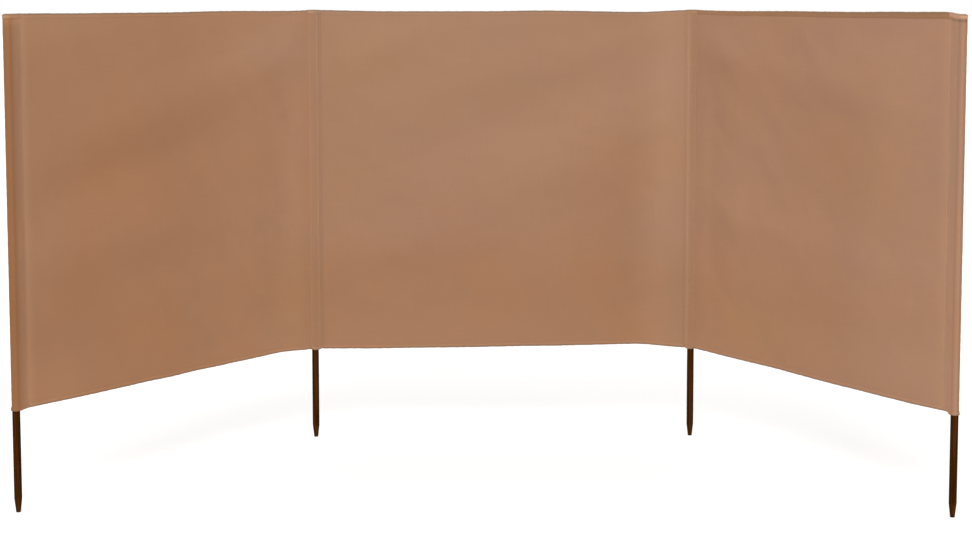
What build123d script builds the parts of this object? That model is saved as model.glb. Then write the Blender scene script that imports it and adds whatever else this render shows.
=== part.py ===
from build123d import *
import os
from math import cos, radians, sin

# A beach windbreak: three cloth panels held upright by four round wooden poles. Each pole stands in
# a sewn pocket, and its bare pointed end goes into the sand. The outer panels are wings that swing
# about the two middle poles. All sizes are in millimetres. The origin is the middle of the flat foot
# of the left middle pole, +X runs along the centre panel, and +Z is up.

# Poles
pole_diameter = 24.0
bare_pole_length = 314.3      # from a pole's foot up to the lower end of its pocket
point_length = 43.0           # the tapered end that goes into the sand
point_tip_diameter = 14.0
point_rounding = 1.5
pole_top_chamfer = 1.5

# Cloth
panel_pitch = 4000.0 / 3      # from one pole's axis to the next, with the cloth taut
cloth_height = 1200.0         # from the lower end of a pocket to the top edge
cloth_thickness = 1.2
top_edge_sag = 4.0            # how far the top edge dips halfway between two poles
bottom_edge_rise = 8.0        # how far the bottom edge climbs halfway between two poles
pocket_drop = 6.0             # how far a pocket reaches below the panels beside it
hem_width = 12.0

# Pockets
pocket_clearance = 0.2        # between a pole and the inside of its pocket
pocket_top_height = 14.0      # the folded and sewn end over the pole's top
pocket_top_thickness = 2.0
pocket_top_clearance = 0.3    # between the pole's top and the folded end
pocket_cuff_height = 12.0
end_seam_offset = 50.0        # from an end pole's axis to the seam of its pocket
middle_seam_offset = 22.0     # the same on both sides of a middle pole
fold_clearance = 0.3          # between a wing's cloth and the pocket that it swings about

# How far each wing is turned towards the front, away from the line of the centre panel
left_wing_angle = 51.7
right_wing_angle = 59.5

# Sizes that follow from the ones above
pole_radius = pole_diameter / 2
pocket_bore_radius = pole_radius + pocket_clearance
pocket_radius = pocket_bore_radius + cloth_thickness
fold_radius = pocket_radius + fold_clearance
cloth_top = bare_pole_length + cloth_height
pole_length = cloth_top - pocket_top_thickness - pocket_top_clearance
panel_bottom = bare_pole_length + pocket_drop
cuff_top = bare_pole_length + pocket_cuff_height
pocket_top_base = cloth_top - pocket_top_height
front_layer_back = -cloth_thickness / 2              # the panel's back face, from its plane
back_layer_back = front_layer_back - cloth_thickness  # the same for hems and flaps

os.makedirs("parts", exist_ok=True)


def save(piece, name):
    piece.part.label = name
    export_step(piece.part, f"parts/{name}.step")


# Each panel has its own plane: x along the panel from its left pole, y up, z towards the front.
def panel_plane(left_pole, turn):
    along = (cos(radians(turn)), sin(radians(turn)), 0)
    front = (sin(radians(turn)), -cos(radians(turn)), 0)
    return Plane(origin=(*left_pole, 0), x_dir=along, z_dir=front)


def make_pole(x, y):
    with BuildPart() as pole:
        with BuildSketch(Plane(origin=(x, y, 0), x_dir=(1, 0, 0), z_dir=(0, -1, 0))):
            with BuildLine():
                Polyline(
                    (0, 0),
                    (point_tip_diameter / 2, 0),
                    (pole_radius, point_length),
                    (pole_radius, pole_length),
                    (0, pole_length),
                    close=True,
                )
            make_face()
        revolve(axis=Axis((x, y, 0), (0, 0, 1)))
        rims = pole.edges().filter_by(GeomType.CIRCLE).sort_by(Axis.Z)
        fillet(rims[0], point_rounding)
        chamfer(rims[-1], pole_top_chamfer)
    return pole


# An open length of pocket, drawn tight round its pole.
def make_sleeve(x, y, bottom, top):
    with BuildPart() as sleeve:
        with BuildSketch(Plane(origin=(x, y, bottom))):
            Circle(pocket_radius)
            Circle(pocket_bore_radius, mode=Mode.SUBTRACT)
        extrude(amount=top - bottom)
    return sleeve


# The pocket's closed upper end, hollow underneath for the pole's top.
def make_pocket_top(x, y):
    with BuildPart() as pocket_top:
        with BuildSketch(Plane(origin=(x, y, cloth_top))):
            Circle(pocket_radius)
        extrude(amount=-pocket_top_height)
        with BuildSketch(Plane(origin=(x, y, cloth_top - pocket_top_thickness))):
            Circle(pocket_bore_radius)
        extrude(amount=pocket_top_thickness - pocket_top_height, mode=Mode.SUBTRACT)
    return pocket_top


# The panel's lower and upper edges are shallow arcs, drawn on the panel's plane and moved up by lift.
def lower_edge(lift=0.0):
    height = panel_bottom + lift
    return ThreePointArc((0, height), (panel_pitch / 2, height + bottom_edge_rise), (panel_pitch, height))


def upper_edge(lift=0.0):
    height = cloth_top + lift
    return ThreePointArc((0, height), (panel_pitch / 2, height - top_edge_sag), (panel_pitch, height))


# One layer of cloth between two of those edges, from start to end along the panel. It is cut back
# from the pockets at the panel's two ends, each given as its pole's place and the radius to clear.
def make_cloth(plane, low, high, start, end, back, pockets):
    with BuildPart() as cloth:
        with BuildSketch(plane.offset(back)):
            with BuildLine():
                add([low, high])
                Line(low @ 0, high @ 0)
                Line(low @ 1, high @ 1)
            make_face()
            with Locations(((start + end) / 2, cloth_top / 2)):
                Rectangle(end - start, cloth_top * 2, mode=Mode.INTERSECT)
        extrude(amount=cloth_thickness)
        for (x, y), radius in pockets:
            with Locations((x, y, cloth_top / 2)):
                Cylinder(radius, cloth_top * 2, mode=Mode.SUBTRACT)
    return cloth


# A panel is its front layer from pocket to pocket. Behind it lie the two hems, between the seams of
# its pockets, and a flap from each pocket to its seam, which is the pocket's back layer.
def save_panel(name, plane, pockets, seams, flaps):
    left_seam = seams[0]
    right_seam = panel_pitch - seams[1]
    panel = (lower_edge(), upper_edge())
    bottom_hem = (lower_edge(), lower_edge(hem_width))
    top_hem = (upper_edge(-hem_width), upper_edge())
    layers = {
        f"{name}_panel": (*panel, 0, panel_pitch, front_layer_back),
        f"{name}_bottom_hem": (*bottom_hem, left_seam, right_seam, back_layer_back),
        f"{name}_top_hem": (*top_hem, left_seam, right_seam, back_layer_back),
        flaps[0]: (*panel, 0, left_seam, back_layer_back),
        flaps[1]: (*panel, right_seam, panel_pitch, back_layer_back),
    }
    for node, (low, high, start, end, back) in layers.items():
        save(make_cloth(plane, low, high, start, end, back, pockets), node)


# Where the four poles stand
left_middle = (0.0, 0.0)
right_middle = (panel_pitch, 0.0)
left_end = (
    -panel_pitch * cos(radians(left_wing_angle)),
    -panel_pitch * sin(radians(left_wing_angle)),
)
right_end = (
    panel_pitch + panel_pitch * cos(radians(right_wing_angle)),
    -panel_pitch * sin(radians(right_wing_angle)),
)

# Poles with their pockets, folded pocket tops and rolled cuffs
poles = {
    "left_end": left_end,
    "left_middle": left_middle,
    "right_middle": right_middle,
    "right_end": right_end,
}
for place, (x, y) in poles.items():
    save(make_pole(x, y), f"{place}_pole")
    save(make_sleeve(x, y, bare_pole_length, cuff_top), f"{place}_pocket_cuff")
    save(make_sleeve(x, y, cuff_top, pocket_top_base), f"{place}_pocket")
    save(make_pocket_top(x, y), f"{place}_pocket_top")

# Panels. A wing's cloth keeps clear of the pocket that it swings about, and all other cloth meets
# the pocket that it is sewn to.
save_panel(
    "left",
    panel_plane(left_end, left_wing_angle),
    pockets=[(left_end, pocket_radius), (left_middle, fold_radius)],
    seams=(end_seam_offset, middle_seam_offset),
    flaps=("left_end_flap", "left_middle_wing_flap"),
)
save_panel(
    "centre",
    panel_plane(left_middle, 0),
    pockets=[(left_middle, pocket_radius), (right_middle, pocket_radius)],
    seams=(middle_seam_offset, middle_seam_offset),
    flaps=("left_middle_centre_flap", "right_middle_centre_flap"),
)
save_panel(
    "right",
    panel_plane(right_middle, -right_wing_angle),
    pockets=[(right_middle, fold_radius), (right_end, pocket_radius)],
    seams=(middle_seam_offset, end_seam_offset),
    flaps=("right_middle_wing_flap", "right_end_flap"),
)
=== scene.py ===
import bmesh
import bpy
import math
import numpy as np
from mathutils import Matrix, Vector


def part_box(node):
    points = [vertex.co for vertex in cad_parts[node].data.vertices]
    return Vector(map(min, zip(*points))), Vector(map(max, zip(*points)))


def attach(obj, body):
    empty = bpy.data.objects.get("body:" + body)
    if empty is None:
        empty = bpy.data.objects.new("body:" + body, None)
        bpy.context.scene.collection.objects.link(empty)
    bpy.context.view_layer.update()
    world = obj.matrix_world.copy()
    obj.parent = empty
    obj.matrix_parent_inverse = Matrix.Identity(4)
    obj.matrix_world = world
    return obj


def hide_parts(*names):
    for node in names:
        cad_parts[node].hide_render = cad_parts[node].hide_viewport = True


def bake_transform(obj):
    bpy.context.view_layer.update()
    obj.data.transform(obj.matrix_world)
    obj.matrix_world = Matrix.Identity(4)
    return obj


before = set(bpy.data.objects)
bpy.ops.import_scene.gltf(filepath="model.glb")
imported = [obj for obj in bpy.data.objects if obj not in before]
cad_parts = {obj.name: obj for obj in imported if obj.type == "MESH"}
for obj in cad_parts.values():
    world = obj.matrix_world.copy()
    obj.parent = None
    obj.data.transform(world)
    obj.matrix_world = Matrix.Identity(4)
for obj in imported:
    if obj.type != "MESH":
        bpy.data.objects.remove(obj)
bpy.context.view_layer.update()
print("frame loaded")

# A windbreak of three cloth bays on four round poles. Each bay is a sheet of cloth with folded hems.
# The outer bays wrap round their end pole, and cross over the middle pole that they swing about. All
# places are taken from the frame, and all sizes are in metres.


def lowHigh(node):
    return [np.array(corner, float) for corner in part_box(node)]


def furthest(node, spot, along):  # how far a node reaches from a spot in plan, in one direction
    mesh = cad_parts[node].data
    points = np.empty(len(mesh.vertices) * 3)
    mesh.vertices.foreach_get("co", points)
    return float(((points.reshape(-1, 3)[:, :2] - spot) @ along).max())


def unit(vector):
    return vector / np.linalg.norm(vector)


places = ["left_end", "left_middle", "right_middle", "right_end"]
poleSpot = {place: np.mean(lowHigh(place + "_pole"), axis=0)[:2] for place in places}
poleLow, poleHigh = lowHigh("left_middle_pole")
poleRadius = float(poleHigh[0] - poleLow[0]) / 2
clothTop = float(lowHigh("left_end_pocket_top")[1][2])
pocketBottom = float(lowHigh("left_end_pocket_cuff")[0][2])
panelBottom = float(lowHigh("centre_panel")[0][2])
bayLength = float(np.linalg.norm(poleSpot["right_middle"] - poleSpot["left_middle"]))
floorHeight = float(poleLow[2])

bays = {}
for bay, start, end in zip(["left", "centre", "right"], places[:-1], places[1:]):
    along = unit(poleSpot[end] - poleSpot[start])
    bays[bay] = {"start": poleSpot[start], "along": along, "front": np.array([along[1], -along[0]])}
endSeam = furthest("left_end_flap", poleSpot["left_end"], bays["left"]["along"])
middleSeam = furthest("left_middle_centre_flap", poleSpot["left_middle"], bays["centre"]["along"])
wingTurn = {
    side: math.acos(float(bays[side]["along"] @ bays["centre"]["along"])) for side in ("left", "right")
}
print("poles", {place: spot.round(4).tolist() for place, spot in poleSpot.items()})
print("seams", round(endSeam, 4), round(middleSeam, 4))

cloth = {
    "thickness": 0.0007,
    "layerSpace": 0.0011,    # between the middles of two sewn layers
    "pocketRadius": poleRadius + 0.0007,   # the middle of a pocket's cloth, round its pole
    "seamAllowance": 0.007,  # what runs on past a seam
    "rows": 196,
    "columnSpacing": 0.0125,   # in the open, away from seams and poles
    "backColumns": 44,         # across the back of a middle pole's pocket
    "edgeHide": 0.0012,      # the sheet's edges end this far inside the folds of its hems
}

# The line of a bay's edges: pairs of a share of the bay's length, from its left pole, and a height in
# metres, above the pockets' lower ends for the bottom and above the cloth's top for the top.
edges = {
    "left": {
        "bottom": [(0, 0.0012), (0.14, 0.0015), (0.45, 0.0072), (0.6, 0.0108), (0.86, 0.0138), (1, 0.004)],
        "top": [
            (0, 0.0006), (0.07, 0.0012), (0.2, -0.0004), (0.5, -0.0014), (0.66, 0.0004), (0.92, -0.002),
            (1, 0),
        ],
    },
    "centre": {
        "bottom": [(0, 0.0030), (0.13, 0.0022), (0.33, 0.0052), (0.59, 0.0104), (0.85, 0.0158), (1, 0.0035)],
        "top": [(0, 0.0), (0.2, -0.0045), (0.44, -0.0045), (0.6, -0.0021), (0.86, -0.0069), (1, 0)],
    },
    "right": {
        "bottom": [(0, 0.0032), (0.34, 0.0038), (0.56, 0.0008), (0.86, 0.0007), (0.94, 0.003), (1, 0.006)],
        "top": [
            (0, 0.0), (0.15, -0.0015), (0.44, 0.0015), (0.6, 0.0018), (0.8, 0.0048), (0.94, 0.0065),
            (1, 0.002),
        ],
    },
}

# Soft folds in each bay. A fold is a long low swell: its middle as a share of the bay's length and
# height, the direction that it runs in (degrees up from level), its height to the front, its length
# and its width.
folds = {
    "left": [
        ((0.55, 0.76), 14, 0.0088, 0.55, 0.110),
        ((0.33, 0.40), 5, 0.0100, 0.45, 0.100),
        ((0.30, 0.58), 14, -0.0060, 0.40, 0.080),
        ((0.12, 0.12), -20, -0.0050, 0.25, 0.070),
        ((0.88, 0.42), 86, -0.0055, 0.60, 0.110),
    ],
    "centre": [
        ((0.57, 0.70), 20, -0.0130, 0.55, 0.125),
        ((0.56, 0.48), 22, 0.0050, 0.40, 0.090),
        ((0.88, 0.42), 87, -0.0095, 0.60, 0.095),
        ((0.28, 0.30), 8, 0.0065, 0.40, 0.090),
        ((0.60, 0.20), 3, 0.0050, 0.45, 0.080),
        ((0.14, 0.86), 30, 0.0045, 0.30, 0.080),
    ],
    "right": [
        ((0.57, 0.80), -4, 0.0105, 0.22, 0.100),
        ((0.14, 0.87), -8, 0.0070, 0.20, 0.070),
        ((0.34, 0.38), -6, 0.0090, 0.36, 0.100),
        ((0.70, 0.52), 80, 0.0075, 0.55, 0.130),
        ((0.08, 0.45), 90, -0.0045, 0.50, 0.080),
        ((0.50, 0.14), -4, -0.0050, 0.40, 0.080),
    ],
}
ripples = {
    "count": 26,
    "longest": 0.42,
    "shortest": 0.07,
    "height": 0.00062,
    "shrink": 0.8,           # the power by which a shorter ripple is lower
    "seed": 7,
}
puckers = {
    "height": 0.00055,
    "spacing": 0.019,
    "reach": 0.016,
    "phases": 12,            # drawn for each bay, one for each of its seams and some to spare
    "still": 0.11,           # how far from a seam the long folds come to their full height
    "cornerHeight": {"left": 0.0006, "centre": 0.0006, "right": 0.0003},
    "cornerReach": 0.11,
    "cornerFolds": 7,
}


def smoothStep(value):       # eases from 0 to 1: three times the square, less twice the cube
    t = np.clip(value, 0, 1)
    return t * t * (3 - 2 * t)


def throughPairs(pairs, share):  # a smooth line through the pairs: an eased step from each to the next
    share = np.asarray(share, float)
    level = np.full(share.shape, pairs[0][1])
    for (a, low), (b, high) in zip(pairs[:-1], pairs[1:]):
        level = level + (high - low) * smoothStep((share - a) / (b - a))
    return level


rng = np.random.default_rng(ripples["seed"])
rippleSet = {}
for bay in bays:
    angle = rng.uniform(-0.5, 1.1, ripples["count"])
    size = ripples["longest"] * (ripples["shortest"] / ripples["longest"]) ** rng.random(ripples["count"])
    phase = rng.uniform(0, 2 * math.pi, ripples["count"])
    rippleSet[bay] = list(zip(angle, size, phase))
puckerPhase = {bay: rng.uniform(0, 2 * math.pi, puckers["phases"]) for bay in bays}


# The long folds of a bay: a bell across each and a wider bell along it.
def longFolds(bay, s, z):
    total = np.zeros(np.broadcast(s, z).shape)
    for (share, high), runs, height, length, width in folds[bay]:
        ds = s - share * bayLength
        dz = z - panelBottom - high * (clothTop - panelBottom)
        turn = math.radians(runs)
        along = ds * math.cos(turn) + dz * math.sin(turn)
        across = dz * math.cos(turn) - ds * math.sin(turn)
        total += height * np.exp(-((along / length) ** 2) - (across / width) ** 2)
    return total


# How far a bay's cloth stands to the front of its flat plane, at s along it and height z. It is the
# sum of the long folds, small sine ripples that shrink with their length, and ripples that fan out
# of the corners.
def swell(bay, s, z):
    total = longFolds(bay, s, z)
    for angle, size, phase in rippleSet[bay]:
        wave = 2 * math.pi * (s * math.sin(angle) + z * math.cos(angle)) / size + phase
        total += ripples["height"] * (size / ripples["longest"]) ** ripples["shrink"] * np.sin(wave)
    for side in (0, 1):
        for upper in (0, 1):
            ds = s if side == 0 else bayLength - s
            dz = clothTop - z if upper else z - panelBottom
            far = np.sqrt(ds**2 + dz**2) / puckers["cornerReach"]
            fan = np.sin(puckers["cornerFolds"] * np.arctan2(dz, ds + 1e-6) + 2 * side + upper)
            total += puckers["cornerHeight"][bay] * far * np.exp(1 - far) * fan * 0.5
    return total


def seamPucker(bay, distance, z, number):  # a short sine along the seam that dies away from it
    phase = puckerPhase[bay][number]
    wander = 1.7 * np.sin(z * 23 + phase) + 1.1 * np.sin(z * 41 + 2 * phase)
    strength = 0.6 + 0.4 * np.sin(z * 17 + 3 * phase)
    wave = np.sin(2 * math.pi * z / puckers["spacing"] + wander)
    return puckers["height"] * strength * wave * np.exp(-np.abs(distance) / puckers["reach"])


def topEdge(bay, s):
    return clothTop + throughPairs(edges[bay]["top"], s / bayLength)


def bottomEdge(bay, s):
    return pocketBottom + throughPairs(edges[bay]["bottom"], s / bayLength)


# Each sheet of cloth follows a path in plan, the line that it takes seen from above. A wing's path is
# laid out from its end pole towards its middle pole, and its second axis points to the front.


def touchAngle(spot, centre, radius, side):  # where a line from spot touches a circle
    out = spot - centre
    return math.atan2(out[1], out[0]) + side * math.acos(radius / np.linalg.norm(out))


def arc(centre, radius, first, last):   # points on a circle, about half a millimetre apart
    angle = np.linspace(first, last, max(2, int(abs(last - first) * radius / 0.0005)))
    return centre + radius * np.stack([np.cos(angle), np.sin(angle)], axis=-1)


# Even steps along a line of points, with its corners eased by a short bell-shaped average. The
# outward direction is the one to the left of the way that the line runs.
def finePath(points, easing=0.0012, step=0.00025):
    points = np.vstack(points)
    points = points[np.r_[True, np.linalg.norm(np.diff(points, axis=0), axis=1) > 1e-7]]
    length = np.r_[0, np.cumsum(np.linalg.norm(np.diff(points, axis=0), axis=1))]
    even = np.arange(0, length[-1], step)
    path = np.stack([np.interp(even, length, points[:, k]) for k in (0, 1)], axis=-1)
    reach = int(3 * easing / step)
    bell = np.exp(-0.5 * (np.arange(-reach, reach + 1) * step / easing) ** 2)
    before = 2 * path[0] - path[1:reach + 1][::-1]
    after = 2 * path[-1] - path[-reach - 1:-1][::-1]
    padded = np.vstack([before, path, after])
    eased = np.stack([np.convolve(padded[:, k], bell / bell.sum(), "valid") for k in (0, 1)], axis=-1)
    length = np.r_[0, np.cumsum(np.linalg.norm(np.diff(eased, axis=0), axis=1))]
    tangent = np.gradient(eased, axis=0)
    tangent /= np.linalg.norm(tangent, axis=1)[:, None]
    return {"u": length, "flat": eased, "outward": np.stack([-tangent[:, 1], tangent[:, 0]], axis=-1)}


def markOn(path, spot):  # how far along the path comes nearest to a place in plan
    return float(path["u"][np.argmin(np.linalg.norm(path["flat"] - spot, axis=1))])


# Over the middle pole, from the wing's seam to the centre bay's: two lines that touch the pocket's
# circle, and the arc between them. The front layer lies over the centre cloth, the back one under both.
def acrossFold(side, back):
    space, turned = cloth["layerSpace"], -1 if back else 1
    radius = cloth["pocketRadius"]
    turn = wingTurn[side]
    way = np.array([math.cos(turn), math.sin(turn)])
    front = np.array([-math.sin(turn), math.cos(turn)])
    pole = np.array([bayLength, 0.0])
    wingSeam = pole + np.array([-middleSeam, -space if back else 0.0])
    centreSeam = pole + middleSeam * way + turned * space * front
    leave = touchAngle(wingSeam, pole, radius, -turned) % (2 * math.pi)
    arrive = touchAngle(centreSeam, pole, radius, turned) % (2 * math.pi)
    if back and arrive < leave:
        arrive += 2 * math.pi
    bend = [arc(pole, radius, leave, arrive)] if back or leave > arrive else []
    return wingSeam, centreSeam, [wingSeam, *bend, centreSeam, centreSeam + cloth["seamAllowance"] * way]


def wingPath(side):
    allowance, radius = cloth["seamAllowance"], cloth["pocketRadius"]
    backSeam, frontSeam = np.array([endSeam, -cloth["layerSpace"]]), np.array([endSeam, 0.0])
    first = touchAngle(backSeam, np.zeros(2), radius, -1)
    last = touchAngle(frontSeam, np.zeros(2), radius, 1) - 2 * math.pi
    wingSeam, centreSeam, over = acrossFold(side, back=False)
    roundPole = [backSeam + [allowance, 0], backSeam, arc(np.zeros(2), radius, first, last), frontSeam]
    path = finePath(roundPole + over)
    behind = (path["u"] < path["u"][-1] / 8) & (path["flat"][:, 1] < 0)   # behind the end pole
    backPart = {"u": path["u"][behind], "flat": path["flat"][behind]}
    path["marks"] = {
        "backSeam": markOn(backPart, backSeam),
        "outside": markOn(path, [-radius, 0]),
        "frontSeam": markOn(path, frontSeam),
        "wingSeam": markOn(path, wingSeam),
        "centreSeam": markOn(path, centreSeam),
    }
    path["marks"]["pole"] = (path["marks"]["wingSeam"] + path["marks"]["centreSeam"]) / 2
    return path


def backStripPath(side):  # from the centre bay round the back of the pole to the wing
    wingSeam, centreSeam, over = acrossFold(side, back=True)
    points = [wingSeam - [cloth["seamAllowance"], 0], *over]
    path = finePath(np.vstack(points)[::-1])
    path["marks"] = {"centreSeam": markOn(path, centreSeam), "wingSeam": markOn(path, wingSeam)}
    path["marks"]["pole"] = (path["marks"]["wingSeam"] + path["marks"]["centreSeam"]) / 2
    return path


def centrePath():
    tuck = 0.002             # how far it runs on inside the pockets
    path = finePath([[middleSeam - tuck, 0], [bayLength - middleSeam + tuck, 0]])
    path["marks"] = {"first": tuck, "last": float(path["u"][-1]) - tuck}
    return path


def bump(away, width):       # a bell curve, 1 at its middle
    return np.exp(-((away / width) ** 2))


# A bay's cloth, and what is sewn flat on it, to the front: the swell, eased to nothing at both seams,
# and the puckers of both.
def panelStand(bay, s, z):
    first = middleSeam if bay != "left" else endSeam
    last = bayLength - (middleSeam if bay != "right" else endSeam)
    openness = smoothStep((s - first) / puckers["still"]) * smoothStep((last - s) / puckers["still"])
    stand = swell(bay, s, z) * openness
    return stand + seamPucker(bay, s - first, z, 0) + seamPucker(bay, s - last, z, 1)


def fromLeft(side, s):       # a place along a bay, counted from its left pole
    return s if side == "left" else bayLength - s


def poleDistance(flat):
    near = np.linalg.norm(flat, axis=-1)
    return np.minimum(near, np.linalg.norm(flat - [bayLength, 0.0], axis=-1))


pocketLook = {
    "slack": 0.0016,
    # where a pocket's own edge runs level, and over how much more it meets the bay's, as shares of
    # the way from the pole's middle to the seam
    "lower": {"end": (0.30, 0.18), "middle": (0.58, 0.42)},
    "upper": {"end": (0.12, 0.88), "middle": (0.50, 0.50)},
    "mouth": 0.017,          # how far up the lower end flares
    "mouthEase": 0.012,
    "mouthFlare": 0.0012,
    "creases": 0.00035,
    # on which side of each seam its welt lies, and its share of the height
    "welts": [("frontSeam", 1, 1.0), ("wingSeam", -1, 0.6), ("centreSeam", 1, 0.4)],
    "weltHeight": 0.0007,
    "weltWidth": 0.0024,
    "weltAway": 0.0036,
    "grooveDepth": 0.00025,
    "grooveWidth": 0.0009,
    "crossing": 0.02,        # past the wing's seam, the front layer takes on the centre bay's folds
    "turnDown": 0.0004,      # at the front layer's own edge
    "turnFrom": 0.0055,      # past the centre bay's seam
    "turnEase": 0.0015,
}


# One over the pole, and down to nothing towards the pocket's seam.
def overPocket(distance, seam, end):
    shares = pocketLook[end]
    wide = seam > (middleSeam + endSeam) / 2
    near = np.where(wide, shares["end"][0], shares["middle"][0]) * seam
    ease = np.where(wide, shares["end"][1], shares["middle"][1]) * seam
    return 1 - smoothStep((distance - near) / ease)


# A pocket's layers: slack between pole and seam, and wider at the mouth to clear the pole there. The
# slack is a sine squared across, and sines up the pocket; the creases are sines up it.
def pocketStand(distance, seam, z, phase):
    look = pocketLook
    between = np.clip((distance - cloth["pocketRadius"]) / (seam - cloth["pocketRadius"]), 0, 1)
    slack = look["slack"] * (seam / endSeam) * np.sin(math.pi * between) ** 2
    slack = slack * (0.9 + 0.6 * np.sin(z * 9 + phase) + 0.4 * np.sin(z * 23 + 2 * phase))
    mouth = look["mouthFlare"] * smoothStep((pocketBottom + look["mouth"] - z) / look["mouthEase"])
    creases = look["creases"] * (1 + np.sin(z * 150 + 3 * np.sin(z * 31 + phase) + phase)) / 2
    return slack + overPocket(distance, seam, "lower") * (mouth + creases)


def sewn(away, side):        # a seam: a stitched groove, with a raised welt beside it
    look = pocketLook
    welt = look["weltHeight"] * bump(away - side * look["weltAway"], look["weltWidth"])
    return welt - look["grooveDepth"] * bump(away, look["grooveWidth"])


# A strip is a sheet of cloth on its path. Its functions give how far it stands out from the path, the
# height of its edges, and its tint, all at u along the path.
def makeStrip(side, path, stand, level, tint):
    bay = bays[side]
    axes = (bay["start"], bay["along"], bay["front"])
    if side == "right":
        axes = (poleSpot["right_end"], -bay["along"], bay["front"])
    return {
        "side": side, "path": path, "marks": path["marks"], "axes": axes,
        "stand": stand, "level": level, "tint": tint,
    }


def wingStrip(side):
    path = wingPath(side)
    marks = path["marks"]

    def own(u):              # the place along the wing's bay, the same on the pocket's two layers
        past = np.where(u < marks["outside"], marks["backSeam"] - u, u - marks["frontSeam"])
        return fromLeft(side, endSeam + past)

    def beyond(u):           # the place along the centre bay
        return fromLeft(side, middleSeam + u - marks["centreSeam"])

    def stand(u, flat, z):
        facing = np.where(u < marks["outside"], -1, 1)
        crossed = smoothStep((u - marks["wingSeam"]) / pocketLook["crossing"])
        out = panelStand(side, own(u), z) * facing + panelStand("centre", beyond(u), z) * crossed
        out = out + pocketStand(poleDistance(flat), seamDistance(strip, u), z, 1.0 if side == "left" else 2.0)
        for seam, way, share in pocketLook["welts"]:
            out = out + share * sewn(u - marks[seam], way)
        turned = smoothStep((u - marks["centreSeam"] - pocketLook["turnFrom"]) / pocketLook["turnEase"])
        return out - pocketLook["turnDown"] * turned

    def level(u, flat, edge):
        wing = edge(side, np.clip(own(u), 0, bayLength))
        return np.where(u < marks["pole"], wing, edge("centre", np.clip(beyond(u), 0, bayLength)))

    def tint(u, z):          # from the wing's own to the centre bay's across the fold
        wing = bayTint(side, own(u), z)
        centre = bayTint("centre", beyond(u), z) * np.array(tones["centre"]) / np.array(tones[side])
        across = smoothStep((u - marks["wingSeam"]) / (marks["centreSeam"] - marks["wingSeam"]))
        return wing + (centre - wing) * across[..., None]

    strip = makeStrip(side, path, stand, level, tint)   # its stand asks it for its pockets' seams
    return strip


def backStrip(side):
    path = backStripPath(side)
    marks = path["marks"]

    def own(u):
        return fromLeft(side, bayLength - middleSeam - (u - marks["wingSeam"]))

    def beyond(u):
        return fromLeft(side, middleSeam + (marks["centreSeam"] - u))

    def stand(u, flat, z):
        out = -panelStand(side, own(u), z) - panelStand("centre", beyond(u), z)
        return out + pocketStand(poleDistance(flat), np.full(u.shape, middleSeam), z, 3.0)

    def level(u, flat, edge):
        centre = edge("centre", np.clip(beyond(u), 0, bayLength))
        return np.where(u < marks["pole"], centre, edge(side, np.clip(own(u), 0, bayLength)))

    def tint(u, z):
        return bayTint("centre", beyond(u), z)

    return makeStrip(side, path, stand, level, tint)


def centreStrip():
    path = centrePath()

    def stand(u, flat, z):
        return panelStand("centre", flat[..., 0], z)

    def level(u, flat, edge):
        return edge("centre", flat[..., 0])

    def tint(u, z):
        return bayTint("centre", middleSeam - path["marks"]["first"] + u, z)

    return makeStrip("centre", path, stand, level, tint)


def planAt(strip, u):
    def along(values):
        return np.stack([np.interp(u, strip["path"]["u"], values[:, k]) for k in (0, 1)], axis=-1)

    outward = along(strip["path"]["outward"])
    return along(strip["path"]["flat"]), outward / np.linalg.norm(outward, axis=-1)[..., None]


# A point of the cloth: its place on the path, moved outward by its stand and by out more.
def onCloth(strip, u, z, out=0.0):
    u, z, out = np.broadcast_arrays(u, z, out)
    origin, along, front = strip["axes"]
    flat, outward = planAt(strip, u)
    flat = flat + outward * (strip["stand"](u, flat, z) + out)[..., None]
    place = origin + flat[..., :1] * along + flat[..., 1:] * front
    return np.concatenate([place, z[..., None]], axis=-1)


def outwardAt(strip, u):     # the outward direction in space, level
    along, front = strip["axes"][1:]
    outward = planAt(strip, u)[1]
    plan = outward[..., :1] * along + outward[..., 1:] * front
    return np.concatenate([plan, np.zeros(plan.shape[:-1] + (1,))], axis=-1)


# The height of a strip's edge: the bay's own line, and level over the pockets.
def edgeHeight(strip, u, upper):
    flat = planAt(strip, u)[0]
    near = overPocket(poleDistance(flat), seamDistance(strip, u), "upper" if upper else "lower")
    height = strip["level"](u, flat, topEdge if upper else bottomEdge)
    return height + ((clothTop if upper else pocketBottom) - height) * near


def seamDistance(strip, u):  # how far the nearest pocket's seam is from its pole
    if "outside" in strip["marks"]:
        return np.where(u < bayLength / 2, endSeam, middleSeam)
    return np.full(np.shape(u), middleSeam)


def gridFaces(rows, columns, start):    # four neighbours make each face
    corner = start + np.arange(rows - 1)[:, None] * columns + np.arange(columns - 1)
    return np.stack([corner, corner + 1, corner + columns + 1, corner + columns], axis=-1).reshape(-1, 4)


def meshPiece(name, points, faces):
    mesh = bpy.data.meshes.new(name)
    mesh.from_pydata(points.tolist(), [], faces.tolist())
    mesh.polygons.foreach_set("use_smooth", np.ones(len(faces), bool))
    mesh.update()
    piece = bpy.data.objects.new(name, mesh)
    bpy.context.scene.collection.objects.link(piece)
    return piece


pieces = {}


# Gives a piece its UV map and its tint, from one value for each vertex, and its material and slot.
def finished(piece, uv, tint, material):
    mesh = piece.data
    corners = np.empty(len(mesh.loops), np.int32)
    mesh.loops.foreach_get("vertex_index", corners)
    mesh.uv_layers.new(name="cloth").data.foreach_set("uv", uv.reshape(-1, 2)[corners].ravel())
    mesh.attributes.new("tint", "FLOAT_VECTOR", "POINT").data.foreach_set("vector", tint.ravel())
    mesh.materials.append(material)
    pieces[piece.name] = piece


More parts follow.
